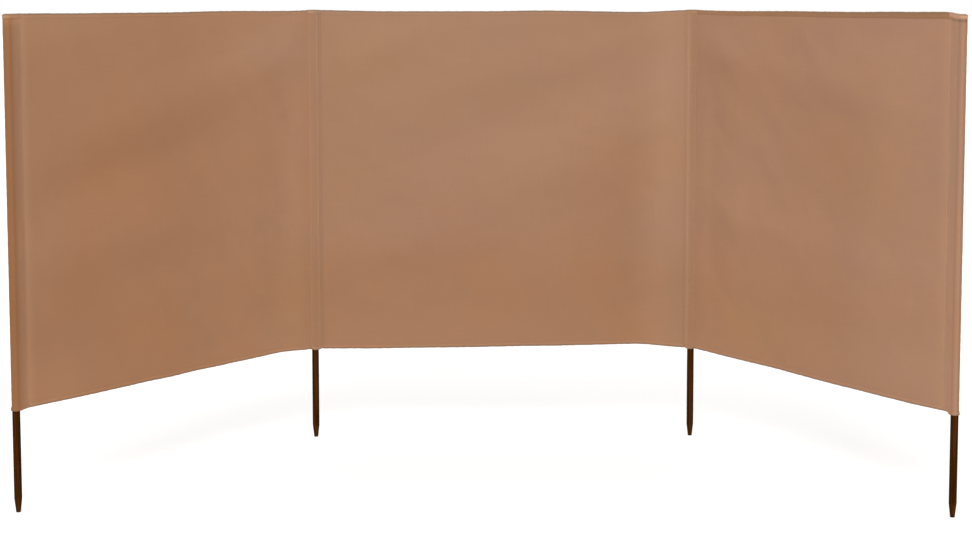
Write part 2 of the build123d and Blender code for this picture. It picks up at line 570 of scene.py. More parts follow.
# A piece from one or more grids of points. Each grid has its UV in metres, its tint and a set of hints
# that point outwards, which its faces are turned to. Its thickness is added to both sides.
def clothPiece(name, grids, thickness, material, weld=False):
    points, faces, uvs, tints, count = [], [], [], [], 0
    for grid in grids:
        p, hint = grid["points"], grid["hint"]
        rows, columns = p.shape[:2]
        quads = gridFaces(rows, columns, count)
        across = np.cross(p[:-1, 1:] - p[:-1, :-1], p[1:, :-1] - p[:-1, :-1])
        if (across * hint[:-1, :-1]).sum() < 0:
            quads = quads[:, ::-1]
        points.append(p.reshape(-1, 3))
        faces.append(quads)
        uvs.append(grid["uv"].reshape(-1, 2))
        tints.append(np.broadcast_to(grid["tint"], (rows, columns, 3)).reshape(-1, 3))
        count += rows * columns
    piece = meshPiece(name, np.concatenate(points), np.concatenate(faces))
    finished(piece, np.concatenate(uvs), np.concatenate(tints), material)
    if weld:
        shape = bmesh.new()
        shape.from_mesh(piece.data)
        bmesh.ops.remove_doubles(shape, verts=shape.verts, dist=0.00003)
        shape.to_mesh(piece.data)
        shape.free()
    solid = piece.modifiers.new("thickness", "SOLIDIFY")
    solid.thickness = thickness
    solid.offset = 0


# Steps along a path: widest in the open, and close together around each (place, half width, step).
def spread(first, last, closer):
    fine = np.linspace(first, last, max(64, int((last - first) / 0.00025)))
    step = np.full(fine.shape, cloth["columnSpacing"])
    for place, half, spacing in closer:
        step = np.minimum(step, spacing + 0.25 * np.maximum(0, np.abs(fine - place) - half))
    count = np.r_[0, np.cumsum(np.diff(fine) / step[:-1])]
    wanted = np.linspace(0, count[-1], int(math.ceil(count[-1])) + 1)
    return np.interp(wanted, count, fine)


# The cloth's colour in each bay, and its tint, a multiplier for each of red, green and blue. The
# bays' colours differ in part as painted light and shade, the left one darkest. Along a pocket the tint
# goes through pairs of a distance and a share, painted shade over the pole and painted highlights on
# the slopes beside it: from the outside of an end pole, or from the middle of a middle pole, where the
# centre bay's side counts up. Each bay is painted lighter or darker along its length, painted light that
# lifts the shade in the left bay towards its middle pole; it warms towards its lower edge, and is
# lighter on the sides of its folds that face the light.
tones = {
    "left": (0.318, 0.157, 0.0840),
    "centre": (0.322, 0.175, 0.1020),
    "right": (0.325, 0.176, 0.1080),
}
# painted shade over each pole and painted highlights on the pocket's slopes beside it
pocketLightAndShade = {
    "left": [
        (0, -0.34), (0.005, -0.36), (0.012, -0.29), (0.021, -0.31), (0.025, -0.22), (0.030, -0.14),
        (0.042, -0.075), (0.050, -0.03), (0.059, 0.06), (0.067, 0.14), (0.080, 0.13), (0.092, 0.045),
        (0.105, 0),
    ],
    "right": [
        (0, -0.24), (0.006, -0.05), (0.009, -0.03), (0.0125, -0.09), (0.018, -0.13), (0.021, -0.12),
        (0.026, 0.02), (0.031, 0.04), (0.037, 0.03), (0.046, 0.02), (0.056, 0.085), (0.067, 0.12),
        (0.072, 0.14), (0.078, 0.07), (0.12, 0),
    ],
    "middle": [
        (-0.030, 0.0), (-0.022, -0.03), (-0.014, -0.13), (-0.006, -0.13), (0.002, -0.08), (0.0115, 0.05),
        (0.015, 0.02), (0.0195, -0.05), (0.0215, -0.05), (0.026, -0.01), (0.032, 0.0),
    ],
}
tintLook = {
    "pocketShadeCast": {"left": (0.70, 1.0, 1.42), "right": (0.9, 1.0, 0.9), "middle": (1.0, 1.0, 1.0)},
    "foldCast": (0.85, 1.0, 1.45),
    "warmth": (-0.03, -0.095, -0.185),
    "lowFrom": 0.79,
    "lowEase": 0.24,
    "foldShade": 0.45,
    "most": 0.05,
    "lightAlong": {"left": 0.76, "centre": 0.35, "right": -0.54},
    "lightDown": 0.58,
    "slopeStep": 0.004,      # half the distance over which a fold's slope is taken
}
bayLightAndWarmth = {
    "left": {
        "along": [(0, (0.955, 0.98, 0.955)), (0.45, (0.98, 1.005, 0.985)), (1, (1.14, 1.22, 1.28))],
        "low": 0.5,
    },
    "centre": {
        "along": [(0, (0.955, 0.975, 0.985)), (0.8, (0.94, 0.95, 0.955)), (0.95, (1.02, 1.04, 1.045))],
        "low": 0.95,
    },
    "right": {
        "along": [(0, (1.06, 1.045, 1.01)), (0.5, (1.005, 0.985, 0.935)), (1, (1.03, 1.03, 1.03))],
        "low": 0.6,
    },
}

# Soft patches where the cloth's tone drifts. A patch is its middle (a share of the bay's length and a
# height), how far it reaches each way, and its change of red, green and blue.
tonePatches = {
    "left": [
        ((0.40, 1.00), (0.24, 0.22), (-0.002, -0.055, -0.110)),
        ((0.85, 1.38), (0.24, 0.09), (-0.006, 0.049, 0.110)),
        ((0.10, 1.50), (0.24, 0.09), (0.068, 0.105, 0.110)),
        ((1.00, 0.51), (0.24, 0.22), (-0.058, -0.028, -0.081)),
        ((0.10, 0.32), (0.10, 0.14), (0.072, 0.086, 0.110)),
        ((0.20, 0.69), (0.10, 0.22), (-0.014, -0.046, -0.061)),
    ],
    "centre": [
        ((0.35, 0.75), (0.24, 0.22), (-0.036, -0.073, -0.067)),
        ((0.85, 1.31), (0.24, 0.22), (0.037, 0.049, 0.073)),
        ((0.75, 0.82), (0.10, 0.22), (-0.010, -0.060, -0.097)),
        ((1.00, 0.44), (0.10, 0.22), (-0.063, 0.005, 0.110)),
    ],
    "right": [
        ((0.75, 1.00), (0.24, 0.22), (-0.029, -0.040, -0.105)),
        ((0.15, 0.94), (0.16, 0.22), (0.044, 0.072, 0.060)),
        ((0.90, 0.44), (0.24, 0.14), (0.007, 0.065, 0.081)),
        ((0.25, 0.44), (0.24, 0.14), (-0.012, 0.011, -0.076)),
        ((0.20, 0.63), (0.24, 0.09), (0.054, 0.040, 0.021)),
        ((0.55, 1.07), (0.10, 0.09), (0.027, -0.029, -0.083)),
    ],
}


# The bay's painted light along its length, times its folds' painted shade, its lower part's warmth and its
# patches.
def bayTint(bay, s, z):
    share = s / bayLength + 0 * z
    pairs = bayLightAndWarmth[bay]["along"]
    along = np.stack([throughPairs([(at, tone[k]) for at, tone in pairs], share) for k in range(3)], axis=-1)
    lower = smoothStep((tintLook["lowFrom"] - z) / tintLook["lowEase"]) * bayLightAndWarmth[bay]["low"]
    patches = np.ones(share.shape + (3,))
    for (at, high), (wide, tall), change in tonePatches[bay]:
        near = np.exp(-(((share - at) / wide) ** 2) - ((z - high) / tall) ** 2)
        patches += near[..., None] * np.array(change)
    shade = 1 + foldShade(bay, s, z)[..., None] * np.array(tintLook["foldCast"])
    return along * shade * (1 + lower[..., None] * np.array(tintLook["warmth"])) * patches


def foldShade(bay, s, z):    # the folds' slopes along and down the bay, each by the light's share
    step, look = tintLook["slopeStep"], tintLook
    along = (longFolds(bay, s + step, z) - longFolds(bay, s - step, z)) / (2 * step)
    down = (longFolds(bay, s, z - step) - longFolds(bay, s, z + step)) / (2 * step)
    shade = look["foldShade"] * (look["lightAlong"][bay] * along + look["lightDown"] * down)
    return np.clip(shade, -look["most"], look["most"])


# painted light and shade along a pocket, in its own colour cast
def pocketLight(kind, distance):
    return throughPairs(pocketLightAndShade[kind], distance)[..., None] * np.array(tintLook["pocketShadeCast"][kind])


def tintOf(strip, u, z):     # a strip's bay tint, its pockets' painted light and shade, and the painted light or shade under a cap
    u, z = np.broadcast_arrays(u, z)
    marks = strip["marks"]
    light = np.ones(u.shape + (3,))
    if "pole" in marks:
        way = 1 if "outside" in marks else -1   # a back strip runs the other way
        light += pocketLight("middle", way * (u - marks["pole"]))
    if "outside" in marks:
        away = np.abs(u - marks["outside"])
        light += pocketLight(strip["side"], away)
        down, width, shade = capLook["underCap"][strip["side"]]
        under = bump(edgeHeight(strip, u, upper=True) - down - z, width)
        under = under * (away < abs(marks["frontSeam"] - marks["outside"]))
        light += (under * shade)[..., None]
    return light * strip["tint"](u, z)


def sheetGrid(strip, columns):   # straight columns from the lower edge to the upper, in even rows
    share = np.linspace(0, 1, cloth["rows"])[:, None]
    low = edgeHeight(strip, columns, upper=False) + cloth["edgeHide"]
    high = edgeHeight(strip, columns, upper=True) - cloth["edgeHide"]
    z = low + (high - low) * share
    u = np.broadcast_to(columns, z.shape)
    return {
        "points": onCloth(strip, u, z),
        "uv": np.stack([u, z], axis=-1),
        "tint": tintOf(strip, u, z),
        "hint": outwardAt(strip, u),
    }


hemLook = {
    "half": 0.0008,          # half the space between the fold's two sides
    "leg": 0.012,
    "stitch": 0.0095,        # from the edge to the row of stitches
    "groove": 0.0003,
    "grooveWidth": 0.0008,
    "pucker": 0.00035,
    "wave": 0.018,
    "uneven": 0.0003,
    "thickness": 0.0005,
    "spacing": 0.0045,
    "ends": 0.0012,          # kept clear of the pockets' seams
    "phase": 0.0,
    "grows": False,
    # the hem band is painted lighter, a painted highlight; its rim is painted darker, a painted shade, and so
    # is a line at its leg's end, a painted shadow
    "tint": 0.15,
    "rimPaintedShade": (-0.52, -0.44, -0.36),
    "rimWidth": 0.0056,
    "legEndShadow": -0.02,
    "endWidth": 0.002,
    "shadeCastAtEnd": (1.0, 1.0, 1.0),
    "shadeCastAtFold": (1.0, 1.0, 1.0),
}
shadedHem = {                # the right bay's top hem, with painted shade: darker and olive towards its end pole
    "grows": True,
    "growth": (1.2, 0.6),    # its width at the fold in plain hems, and how much more at the end pole
    "tint": 0.09,
    "rimPaintedShade": (-0.22, -0.15, -0.09),
    "legEndShadow": -0.07,
    "shadeCastAtEnd": (0.74, 0.685, 0.56),
    "shadeCastAtFold": (0.87, 0.82, 0.70),
}
cuffLook = dict(
    hemLook, half=0.00085, leg=0.0105, stitch=0.0078, wave=0.011, spacing=0.0018, uneven=0.0002,
    tint=0.09, rimPaintedShade=(-0.36, -0.36, -0.36), rimWidth=0.0036, ends=0.0005,
)


def hemGrow(u):              # the right bay's top hem is folded evenly wider towards its end pole
    least, more = shadedHem["growth"]
    return least + more * (1 - np.clip(u / bayLength, 0, 1))


# A strip of cloth folded over an edge: down one side in a straight leg, round a half circle and up
# the other side. The legs are pressed in at the row of stitches and at their ends, and pucker between
# the two in sines along the edge.
def foldGrid(strip, columns, upper, look):
    h, leg, stitch = look["half"], look["leg"], look["stitch"]
    turn = np.linspace(0, math.pi, 9)
    rise = np.r_[leg, leg - 0.0004, leg - 0.0012, stitch + 0.0009, stitch, stitch - 0.0009]
    rise = np.r_[rise, np.linspace(stitch - 0.002, h * 1.2, 4)]
    tucked = np.full(rise.shape, h)
    tucked[:2] = [h * 0.55, h * 0.85]
    tucked = tucked - look["groove"] * bump(rise - stitch, look["grooveWidth"])
    rise = np.r_[rise, h - h * np.sin(turn), rise[::-1]][:, None]
    out = np.r_[tucked, h * np.cos(turn), -tucked[::-1]][:, None]
    loose = np.sin(math.pi * np.clip(rise / stitch, 0, 1)) * np.sign(out)
    wave = columns / look["wave"] * 2 * math.pi
    wander = 1.4 * np.sin(columns * 31 + look["phase"]) + 0.9 * np.sin(columns * 67 + look["phase"])
    out = out + look["pucker"] * loose * np.sin(wave + wander)
    down = rise * (1 + (hemGrow(columns) - 1) * (rise > stitch * 0.2)) if look["grows"] else rise
    z = edgeHeight(strip, columns, upper) + look["uneven"] * np.sin(wave * 0.37 + 2 * wander)
    z = z - down if upper else z + rise
    u = np.broadcast_to(columns, z.shape)
    middle = (leg / 2 - rise) * (1 if upper else -1)
    hint = outwardAt(strip, u) * out[..., None] + np.array([0, 0, 0.02]) * middle[..., None]
    # painted light on the hem: a lighter band as painted highlight, a darker rim and leg end as painted
    # shade, and a painted shade cast
    rim = bump(rise, look["rimWidth"])[..., None] * np.array(look["rimPaintedShade"])
    shade = 1 + look["tint"] + rim + look["legEndShadow"] * bump(leg - rise, look["endWidth"])[..., None]
    share = np.clip(u / bayLength, 0, 1)[..., None]
    cast = np.array(look["shadeCastAtEnd"]) * (1 - share) + np.array(look["shadeCastAtFold"]) * share
    return {
        "points": onCloth(strip, u, z, out),
        "uv": np.stack([u, z + out * 3], axis=-1),
        "tint": tintOf(strip, u, z) * shade * cast,
        "hint": hint,
    }


capLook = {
    "skirt": 0.0135,
    "out": 0.00085,
    "round": 0.0024,
    "roundOutside": 0.007,   # at the outer side of an end pole
    "outerTo": 0.008,        # how far past the pole's middle the larger rounding runs out
    "outerEase": 0.018,
    "above": 0.0006,         # over the hems' own edge
    "dome": 0.0005,
    "domeRoom": 0.01,        # where the cap is narrower than twice this, its arch is lower
    "wobble": 0.0004,        # of the skirt's lower edge
    "thickness": 0.0006,
    "stitch": 0.003,         # up from the skirt's lower edge
    "groove": 0.0003,
    "grooveWidth": 0.0008,
    # a painted shadow along the skirt's lower edge, painted shade along the cap's upper edge, and a painted
    # highlight on each cap
    "skirtShadow": -0.16,
    "lowerWidth": 0.0011,
    "rimPaintedShade": (-0.34, -0.27, -0.19),
    "rimWidth": 0.0036,
    "light": {"left": 0.15, "right": 0.36, "middle": 0.0},
    # the light or shade on the pocket under the cap: how far down from the edge, how wide, how strong
    "underCap": {"left": (0.022, 0.009, 0.13), "right": (0.0175, 0.0035, -0.42)},
    "pastSeam": 0.006,
    "columns": 56,
}


# A pocket's top: the cloth folded over the pole, with a skirt down the front and the back, which run
# along their own paths, outward of the cloth. Each rises to the rounding, a quarter circle turned
# inward, and the two are joined by straight lines with a low arch, a parabola.
def capGrid(front, back, frontU, backU, room, rounding, light):
    look = capLook
    top = edgeHeight(front, frontU, upper=True) + look["above"]
    count = len(frontU)
    radius = np.minimum(rounding, 0.8 * room)
    skirt = np.r_[0, 0.0006, 0.0014, 0.0022, look["stitch"], 0.0038, 0.005, 0.008, 0.011][:, None]
    turn = np.linspace(0, math.pi / 2, 7)[:, None]
    wobble = look["wobble"] * (np.sin(np.linspace(0, 9, count)) + 0.5 * np.sin(np.linspace(1, 31, count)))
    high = top - look["skirt"] + wobble + skirt * (1 - wobble / look["skirt"])
    z = np.vstack([high, top - radius + radius * np.sin(turn)])
    tuck = np.zeros_like(high)
    tuck[0], tuck[1] = -0.0005, -0.00015
    tuck = tuck - look["groove"] * bump(skirt - look["stitch"], look["grooveWidth"])
    out = look["out"] + np.vstack([tuck, -radius * (1 - np.cos(turn))])
    sides = []
    for strip, u in ((front, frontU), (back, backU)):
        u = np.broadcast_to(u, z.shape)
        sides.append((onCloth(strip, u, z, out), outwardAt(strip, u)))
    share = np.linspace(0, 1, 11)[1:-1, None, None]
    across = sides[0][0][-1] * (1 - share) + sides[1][0][-1] * share
    arch = 4 * share[..., 0] * (1 - share[..., 0]) * look["dome"]
    across[..., 2] += arch * np.minimum(1, room / look["domeRoom"])
    up = np.broadcast_to([0.0, 0.0, 1.0], across.shape)
    points = np.concatenate([sides[0][0], across, sides[1][0][::-1]])
    hint = np.concatenate([sides[0][1], up, sides[1][1][::-1]])
    way = np.r_[0, np.cumsum(np.linalg.norm(np.diff(points[:, count // 2], axis=0), axis=1))]
    uv = np.stack(np.broadcast_arrays(np.linspace(0, 0.07, count)[None, :], way[:, None]), axis=-1)
    # painted shade along the cap's upper edge and a painted shadow line under its skirt
    rim = bump(points[..., 2] - top, look["rimWidth"])[..., None] * np.array(look["rimPaintedShade"])
    rim[len(z):-len(z)] = 0  # the roof keeps its tone
    below = look["skirtShadow"] * bump(points[..., 2] - (top - look["skirt"]), look["lowerWidth"])[..., None]
    tint = front["tint"](np.broadcast_to(frontU, rim.shape[:2]), points[..., 2]) * (1 + light + rim + below)
    return {"points": points, "uv": uv, "tint": tint, "hint": hint}


strips = {"left": wingStrip("left"), "right": wingStrip("right"), "centre": centreStrip()}
backs = {side: backStrip(side) for side in ("left", "right")}
for name, strip in strips.items():
    print(name, "cloth", {mark: round(u, 4) for mark, u in strip["marks"].items()})


def setSockets(tree, node, sockets):
    for name, value in sockets.items():
        if isinstance(value, bpy.types.NodeSocket):
            tree.links.new(value, node.inputs[name])
        else:
            node.inputs[name].default_value = value


def addNode(tree, kind, sockets, **settings):
    made = tree.nodes.new("ShaderNode" + kind)
    for name, value in settings.items():
        setattr(made, name, value)
    setSockets(tree, made, sockets)
    return made


def mathNode(tree, operation, first, second=0.0, third=0.0):
    return addNode(tree, "Math", {0: first, 1: second, 2: third}, operation=operation).outputs[0]


def vectorNode(tree, operation, first, second):
    return addNode(tree, "VectorMath", {0: first, 1: second}, operation=operation).outputs[0]


def scaleNode(tree, vector, scale):
    return addNode(tree, "VectorMath", {0: vector, "Scale": scale}, operation="SCALE").outputs[0]


def moveNode(tree, vector, **sockets):
    return addNode(tree, "Mapping", {"Vector": vector, **sockets}).outputs[0]


def mixNode(tree, share, first, second):
    return addNode(tree, "MixRGB", {"Fac": share, "Color1": first, "Color2": second}).outputs[0]


def bumpNode(tree, height, strength, distance, **sockets):
    sockets.update({"Height": height, "Strength": strength, "Distance": distance})
    return addNode(tree, "Bump", sockets).outputs[0]


def rangeNode(tree, value, low, high, first=0.0, last=1.0):
    sockets = {"Value": value, "From Min": low, "From Max": high, "To Min": first, "To Max": last}
    return addNode(tree, "MapRange", sockets).outputs[0]


def addShares(tree, total, parts):   # adds each part's share to the total
    for part, share in parts:
        total = mathNode(tree, "MULTIPLY_ADD", part, share, total)
    return total


def noise(tree, vector, scale, detail, roughness, stretch=None):
    if stretch:
        vector = moveNode(tree, vector, Scale=stretch)
    sockets = {"Vector": vector, "Scale": scale, "Detail": detail, "Roughness": roughness}
    return addNode(tree, "TexNoise", sockets).outputs["Fac"]


def colourNoise(tree, vector, scale, detail):
    return addNode(tree, "TexNoise", {"Vector": vector, "Scale": scale, "Detail": detail}).outputs["Color"]


def startMaterial(name):     # a new material, its nodes and its shader
    material = bpy.data.materials.new(name)
    material.use_nodes = True
    return material, material.node_tree, material.node_tree.nodes["Principled BSDF"]


clothLook = {
    "threadPitch": 0.0011,
    "threadWander": 0.0006,
    "weaveDepth": 0.00018,
    "creaseDepth": 0.0009,
    "roughness": 0.88,
    "sheen": 0.06,
    "specular": 0.18,
    # each noise's scale, detail and roughness
    "noises": {
        "patches": (3.2, 4.0, 0.55),
        "blotches": (17.0, 3.0, 0.6),
        "fleck": (420.0, 1.0, 0.5),
        "creases": (26.0, 5.0, 0.62),
        "fineCreases": (110.0, 3.0, 0.6),
    },
    "threadStretch": (900.0, 9.0),   # of the threads' noise, across and along a thread
    # how much each part changes the cloth's brightness
    "patches": 0.16,
    "blotches": 0.05,
    "threads": 0.14,
    "fleck": 0.10,
    "weave": 0.03,
    "paler": (1.01, 1.03, 1.06),
    "deeper": (0.99, 0.97, 0.93),
}


# Plain woven cloth. Its height is sine times sine across warp and weft, with thick and thin threads
# from long narrow noise, and fine creases from coarser noise. The colour has slow patches, the
# threads' own differences, and the tint that each piece carries.
def clothMaterial(name, colour, pitch=1.0, offset=0.0):
    material, tree, shader = startMaterial(name)
    look = clothLook
    uv = addNode(tree, "UVMap", {}, uv_map="cloth").outputs[0]
    uv = moveNode(tree, uv, Location=(offset, offset * 0.7, offset))
    wander = vectorNode(tree, "MULTIPLY", colourNoise(tree, uv, 90.0, 1.0), (look["threadWander"],) * 3)
    turns = 2 * math.pi / (look["threadPitch"] * pitch)
    angle = vectorNode(tree, "MULTIPLY", vectorNode(tree, "ADD", uv, wander), (turns,) * 3)
    axes = addNode(tree, "SeparateXYZ", {0: angle}).outputs
    weave = mathNode(tree, "MULTIPLY", mathNode(tree, "SINE", axes[0]), mathNode(tree, "SINE", axes[1]))
    stretch = look["threadStretch"]
    warp, weft = (noise(tree, uv, 1.0, 2.0, 0.6, stretch=(*way, 1.0)) for way in (stretch, stretch[::-1]))
    threads = mathNode(tree, "ADD", warp, weft)
    noises = (noise(tree, uv, *settings) for settings in look["noises"].values())
    patches, blotches, fleck, creases, fineCreases = noises
    parts = {"blotches": blotches, "threads": threads, "fleck": fleck, "weave": weave}
    change = mathNode(tree, "MULTIPLY", patches, look["patches"])
    change = addShares(tree, change, [(part, look[which]) for which, part in parts.items()])
    mean = (look["patches"] + look["blotches"] + look["fleck"]) / 2 + look["threads"]
    bright = mathNode(tree, "ADD", change, 1 - mean)
    warm = rangeNode(tree, patches, 0.3, 0.7)
    paler, deeper = ([c * k for c, k in zip(colour, look[which])] for which in ("paler", "deeper"))
    tone = mixNode(tree, warm, (*paler, 1), (*deeper, 1))
    tint = addNode(tree, "Attribute", {}, attribute_name="tint").outputs["Vector"]
    wrinkled = mathNode(tree, "MULTIPLY_ADD", fineCreases, 0.25, creases)
    creased = bumpNode(tree, wrinkled, 0.55, look["creaseDepth"])
    height = mathNode(tree, "MULTIPLY_ADD", weave, 0.5, threads)
    setSockets(tree, shader, {
        "Base Color": scaleNode(tree, vectorNode(tree, "MULTIPLY", tone, tint), bright),
        "Normal": bumpNode(tree, height, 0.7, look["weaveDepth"], Normal=creased),
        "Roughness": mathNode(tree, "MULTIPLY_ADD", threads, 0.08, look["roughness"] - 0.08),
        "Specular IOR Level": look["specular"],
        "Sheen Weight": look["sheen"],
        "Sheen Roughness": 0.5,
    })
    return material


woodLook = {
    "stain": [               # by the grain's value
        (0.36, (0.014, 0.0036, 0.0004, 1)),
        (0.56, (0.042, 0.0115, 0.0010, 1)),
        (0.78, (0.066, 0.0210, 0.0028, 1)),
    ],
    # each grain's detail and roughness, and its stretch across and along the pole
    "grains": {
        "long": (4.0, 0.6, 230.0, 5.0),
        "fine": (3.0, 0.65, 1400.0, 22.0),
        "pores": (1.0, 0.5, 2600.0, 70.0),
    },
    "scuffs": (4.0, 0.7, 150.0, 40.0),
    "scuffed": (0.100, 0.044, 0.014, 1),
    "scuffHeight": 0.075,    # from the foot up
    "scuffShare": 0.3,
    "grainDepth": 0.0004,
    "roughness": 0.66,
    "specular": 0.015,
    "sides": 0.40,           # painted shade: how much darker a pole's sides that face left and right are made
}


def grainNoise(tree, place, detail, roughness, across, along):
    return noise(tree, place, 1.0, detail, roughness, stretch=(across, across, along))


# Stained and turned wood. The grain is noise drawn out along the pole, over growth rings that are
# cut by the taper and the ends. The point is scuffed paler by sand. The pole's sides that face left and
# right are darker, a painted shade.
def woodMaterial(name, spot, turn):
    material, tree, shader = startMaterial(name)
    look = woodLook
    place = addNode(tree, "TexCoord", {}).outputs["Object"]
    centred = moveNode(tree, place, Location=(-spot[0], -spot[1], 0.0))
    shifted = moveNode(tree, centred, Location=(0.031, 0.013, 0.0), Rotation=(0.012, 0.02, turn))
    swirl = vectorNode(tree, "MULTIPLY", colourNoise(tree, shifted, 5.0, 2.0), (0.006, 0.006, 0.0))
    bent = vectorNode(tree, "ADD", shifted, swirl)
    sockets = {"Vector": bent, "Scale": 62.0, "Distortion": 1.2, "Detail": 2.0, "Detail Scale": 1.4}
    rings = addNode(tree, "TexWave", sockets, wave_type="RINGS", rings_direction="Z").outputs["Fac"]
    longGrain, fine, pores = (grainNoise(tree, bent, *settings) for settings in look["grains"].values())
    grain = addShares(tree, mathNode(tree, "MULTIPLY", longGrain, 0.62), [(rings, 0.22), (fine, 0.30)])
    ramp = addNode(tree, "ValToRGB", {"Fac": grain})
    dark, middle, light = look["stain"]
    elements = ramp.color_ramp.elements
    elements[0].position, elements[0].color = dark
    elements[1].position, elements[1].color = light
    elements.new(middle[0]).color = middle[1]
    axes = addNode(tree, "SeparateXYZ", {0: centred}).outputs
    scuffs = grainNoise(tree, centred, *look["scuffs"])
    low = rangeNode(tree, axes[2], look["scuffHeight"], 0.0)
    worn = mathNode(tree, "MULTIPLY", low, rangeNode(tree, scuffs, 0.46, 0.66))
    worn = mathNode(tree, "MULTIPLY", worn, look["scuffShare"])
    # painted shade: the stain darkens towards the pole's sides that face left and right
    aside = mathNode(tree, "ABSOLUTE", axes[0])
    sides = rangeNode(tree, aside, 0.3 * poleRadius, poleRadius, 1.0, 1 - look["sides"])
    stained = scaleNode(tree, ramp.outputs[0], sides)
    cut = mathNode(tree, "MULTIPLY", rangeNode(tree, pores, 0.56, 0.68), 0.4)
    dented = mathNode(tree, "SUBTRACT", mathNode(tree, "MULTIPLY_ADD", fine, 0.5, grain), cut)
    rough = mathNode(tree, "MULTIPLY_ADD", grain, -0.22, look["roughness"] + 0.1)
    setSockets(tree, shader, {
        "Base Color": mixNode(tree, worn, stained, look["scuffed"]),
        "Roughness": mathNode(tree, "MULTIPLY_ADD", worn, 0.3, rough),
        "Normal": bumpNode(tree, dented, 0.6, look["grainDepth"]),
        "Specular IOR Level": look["specular"],
    })
    return material


hemShade = (1.02, 1.02, 1.03)
clothMaterials, hemMaterials = {}, {}
for n, (side, tone) in enumerate(tones.items()):
    hemTone = [c * k for c, k in zip(tone, hemShade)]
    clothMaterials[side] = clothMaterial(side + "_weave", tone, offset=n)
    hemMaterials[side] = clothMaterial(side + "_hem_weave", hemTone, offset=3 + n)
threadMaterial = clothMaterial("sewing_thread", (0.245, 0.128, 0.072), pitch=0.35, offset=7)
print("materials made")

for side, strip in strips.items():
    marks = strip["marks"]
    if side == "centre":
        closer = [(marks["first"], 0.008, 0.0025), (marks["last"], 0.008, 0.0025)]
    else:
        closer = [
            (marks["outside"], 0.022, 0.0019),
            (marks["backSeam"], 0.003, 0.002),
            (marks["frontSeam"], 0.006, 0.0014),
            (marks["wingSeam"], 0.006, 0.0014),
            (marks["pole"], 0.009, 0.0017),
            (marks["centreSeam"] + 0.003, 0.004, 0.0014),
        ]
    grid = sheetGrid(strip, spread(0.0, strip["path"]["u"][-1], closer))
    clothPiece(side + "_cloth", [grid], cloth["thickness"], clothMaterials[side])
    if side in backs:
        back, name = backs[side], side + "_middle_pocket_back"
        grid = sheetGrid(back, np.linspace(0, back["path"]["u"][-1], cloth["backColumns"]))
        clothPiece(name, [grid], cloth["thickness"], clothMaterials["centre"])
print("sheets made")


def foldColumns(strip, first, last, look):   # even steps between two marks, kept clear of both
    start, end = strip["marks"][first] + look["ends"], strip["marks"][last] - look["ends"]
    return np.linspace(start, end, int((end - start) / look["spacing"]))


def hemColumns(side):
    first, last = ("first", "last") if side == "centre" else ("frontSeam", "wingSeam")
    return foldColumns(strips[side], first, last, hemLook)


for n, side in enumerate(strips):
    columns = hemColumns(side)
    for upper, word in ((True, "top"), (False, "bottom")):
        look = dict(hemLook, phase=2 * n + upper)
        if side == "right" and upper:
            look.update(shadedHem)
        grid = foldGrid(strips[side], columns, upper, look)
        clothPiece(f"{side}_{word}_hem_fold", [grid], look["thickness"], hemMaterials[side])

for n, (side, back) in enumerate(backs.items()):
    strip, marks, backMarks = strips[side], strips[side]["marks"], back["marks"]
    look = dict(cuffLook, phase=1.3 + n)
    cuffs = []
    for under, *seams in (
        (strip, "backSeam", "frontSeam"), (strip, "wingSeam", "centreSeam"), (back, "centreSeam", "wingSeam"),
    ):
        cuffs.append(foldGrid(under, foldColumns(under, *seams, look), False, look))
    clothPiece(f"{side}_end_cuff_fold", cuffs[:1], look["thickness"], hemMaterials[side])
    clothPiece(f"{side}_middle_cuff_fold", cuffs[1:], look["thickness"], hemMaterials["centre"])

    past, count = capLook["pastSeam"], capLook["columns"]
    frontU = np.linspace(marks["outside"], marks["frontSeam"] + past, count)
    backU = np.linspace(marks["outside"], marks["backSeam"] - past, count)
    flat = planAt(strip, frontU)[0]
    room = np.hypot(np.minimum(flat[:, 0], 0), flat[:, 1] + cloth["layerSpace"] / 2)
    outer = smoothStep((capLook["outerTo"] - flat[:, 0]) / capLook["outerEase"])
    rounding = capLook["round"] + (capLook["roundOutside"] - capLook["round"]) * outer
    cap = [capGrid(strip, strip, frontU, backU, room, rounding, capLook["light"][side])]
    clothPiece(f"{side}_end_pocket_cap", cap, capLook["thickness"], hemMaterials[side], weld=True)
    frontU = np.linspace(marks["wingSeam"] - past, marks["centreSeam"] + past, count)
    backU = np.linspace(backMarks["wingSeam"] + past, backMarks["centreSeam"] - past, count)
    room = np.linalg.norm(planAt(strip, frontU)[0] - planAt(back, backU)[0], axis=-1) / 2
    cap = [capGrid(strip, back, frontU, backU, room, capLook["round"], capLook["light"]["middle"])]
    clothPiece(f"{side}_middle_pocket_cap", cap, capLook["thickness"], hemMaterials["centre"])
print("hems, cuffs and pocket tops made")

stitchLook = {
    "length": 0.0032,
    "pitch": 0.0045,
    "half": 0.00032,         # half a thread's width
    "sunk": 0.0001,
    "ends": 0.003,           # from a row's ends to the seams beside it
    "hemEnds": 0.004,        # from a hem's row to the hem's own ends
    "hems": 0.014,           # from an upright row to the cloth's edges
}


# A row of stitches at places u and z on a strip, its threads' directions from one place to the next.
def stitchRow(strip, u, z, out, facing=1):
    centre = onCloth(strip, u, z, out * facing)
    along = np.gradient(centre, axis=0)
    along /= np.linalg.norm(along, axis=1)[:, None]
    return centre, along, outwardAt(strip, np.broadcast_to(u, z.shape)) * facing


def rowAlong(strip, first, last, rise, upper, out, facing=1, grows=False):
    u = np.arange(first, last, stitchLook["pitch"])
    rise = rise * (hemGrow(u) if grows else 1.0)
    return stitchRow(strip, u, edgeHeight(strip, u, upper) + (-rise if upper else rise), out, facing)


def rowUp(strip, mark):
    u = strip["marks"][mark]
    low, high = (float(edgeHeight(strip, np.array([u]), upper)[0]) for upper in (False, True))
    z = np.arange(low + stitchLook["hems"], high - stitchLook["hems"], stitchLook["pitch"])
    return stitchRow(strip, np.full(z.shape, u), z, cloth["thickness"] / 2)


